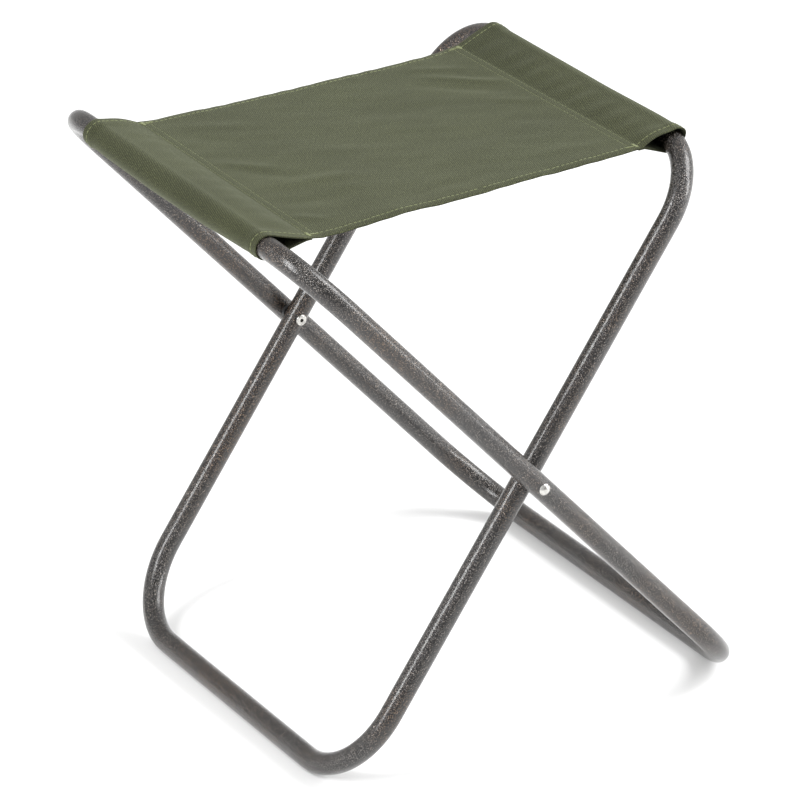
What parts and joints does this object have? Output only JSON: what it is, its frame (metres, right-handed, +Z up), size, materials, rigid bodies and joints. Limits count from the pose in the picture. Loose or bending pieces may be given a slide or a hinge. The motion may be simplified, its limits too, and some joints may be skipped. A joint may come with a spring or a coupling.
{
  "type": "folding camp stool",
  "caption": "Folding camp stool: two crossed tube loops on riveted pivots, with a sleeved cloth seat stretched between their top bars.",
  "frame": {"origin": "on the floor under the middle of the open stool; the pivot axis is 3.4 mm towards +X and 202.6 mm up", "axes": "+Z up, Y along the pivot axis and the bars, +X from the outer loop's top bar to the inner loop's top bar"},
  "size_m": [0.3378, 0.3924, 0.4161],
  "materials": {
    "frame_paint": "dark brown-grey hammered gloss paint",
    "plated_steel": "bright zinc plate",
    "nylon": "black nylon",
    "seat_cloth": "olive coated polyester, fine diagonal weave",
    "thread": "light olive polyester thread"
  },
  "bodies": {
    "outer_frame": {"outer_frame_tube": "frame_paint", "outer_joint_spigot": "plated_steel", "near_pivot_rivet": "plated_steel", "far_pivot_rivet": "plated_steel", "near_pivot_spacer": "nylon", "far_pivot_spacer": "nylon"},
    "inner_frame": {"inner_frame_tube": "frame_paint", "inner_joint_spigot": "plated_steel"},
    "outer_seat": {"outer_seat_half": "seat_cloth", "outer_sleeve_seam": "thread", "outer_hem_stitching": "thread", "outer_bar_tacks": "thread"},
    "inner_seat": {"inner_seat_half": "seat_cloth", "inner_sleeve_seam": "thread", "inner_hem_stitching": "thread", "inner_bar_tacks": "thread"}
  },
  "joints": [
    {"name": "fold", "type": "hinge", "parent": "outer_frame", "child": "inner_frame", "pos_m": [0.00343, 0, 0.2026], "axis": [0, -1, 0], "range_deg": [0, 72], "deforming": ["outer_seat_half", "inner_seat_half", "outer_sleeve_seam", "inner_sleeve_seam", "outer_hem_stitching", "inner_hem_stitching", "outer_bar_tacks", "inner_bar_tacks"]},
    {"name": "outer_sleeve_turn", "type": "hinge", "parent": "outer_frame", "child": "outer_seat", "pos_m": [-0.1594, 0, 0.40658], "axis": [0, 1, 0], "range_deg": [0, 48.83]},
    {"name": "inner_sleeve_turn", "type": "hinge", "parent": "inner_frame", "child": "inner_seat", "pos_m": [0.1594, 0, 0.39798], "axis": [0, -1, 0], "range_deg": [0, 51.83]}
  ],
  "couplings": [
    {"joint": "outer_sleeve_turn", "follows": "fold", "ratio": 0.6712},
    {"joint": "inner_sleeve_turn", "follows": "fold", "ratio": 0.7129}
  ]
}
